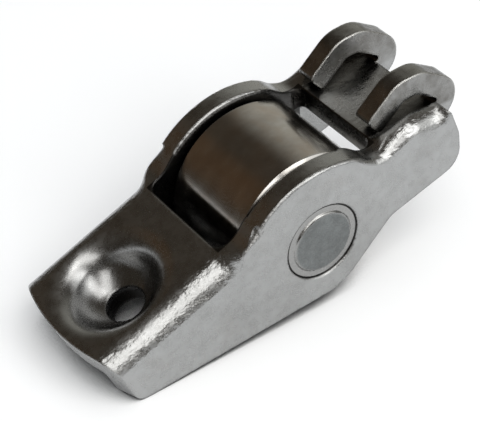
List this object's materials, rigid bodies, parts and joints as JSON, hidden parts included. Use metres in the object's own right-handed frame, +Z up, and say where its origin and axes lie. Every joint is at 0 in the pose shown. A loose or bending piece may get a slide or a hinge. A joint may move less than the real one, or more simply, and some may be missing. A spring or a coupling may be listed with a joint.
{
  "type": "roller rocker arm",
  "caption": "Folded sheet-steel rocker arm of the finger follower kind: ball socket at one end, valve pad between curled ears at the other, needle-bearing roller on a fixed axle between.",
  "frame": {"origin": "centre of the roller's axle, midway between the side walls", "axes": "+Y along the axle, +X towards the valve end, +Z up with the ball socket and the valve pad facing up; the part rests on its roller and on the two lower corners of the socket end"},
  "size_m": [0.0445, 0.017, 0.0206],
  "materials": {
    "arm_steel": "tumbled satin, case-hardened sheet",
    "axle_steel": "ground",
    "roller_steel": "fine ground and polished",
    "needle_steel": "polished"
  },
  "bodies": {
    "arm": {"arm_body": "arm_steel", "axle": "axle_steel"},
    "roller": {"roller": "roller_steel"},
    "needle_set": {"needle_01": "needle_steel", "needle_02": "needle_steel", "needle_03": "needle_steel", "needle_04": "needle_steel", "needle_05": "needle_steel", "needle_06": "needle_steel", "needle_07": "needle_steel", "needle_08": "needle_steel", "needle_09": "needle_steel", "needle_10": "needle_steel", "needle_11": "needle_steel", "needle_12": "needle_steel", "needle_13": "needle_steel", "needle_14": "needle_steel", "needle_15": "needle_steel", "needle_16": "needle_steel", "needle_17": "needle_steel", "needle_18": "needle_steel", "needle_19": "needle_steel"}
  },
  "joints": [
    {"name": "roller_spin", "type": "hinge", "parent": "arm", "child": "roller", "pos_m": [0, 0, 0], "axis": [0, 1, 0], "continuous": true},
    {"name": "needle_orbit", "type": "hinge", "parent": "arm", "child": "needle_set", "pos_m": [0, 0, 0], "axis": [0, 1, 0], "continuous": true}
  ],
  "couplings": [
    {"joint": "needle_orbit", "follows": "roller_spin", "ratio": 0.5825}
  ]
}
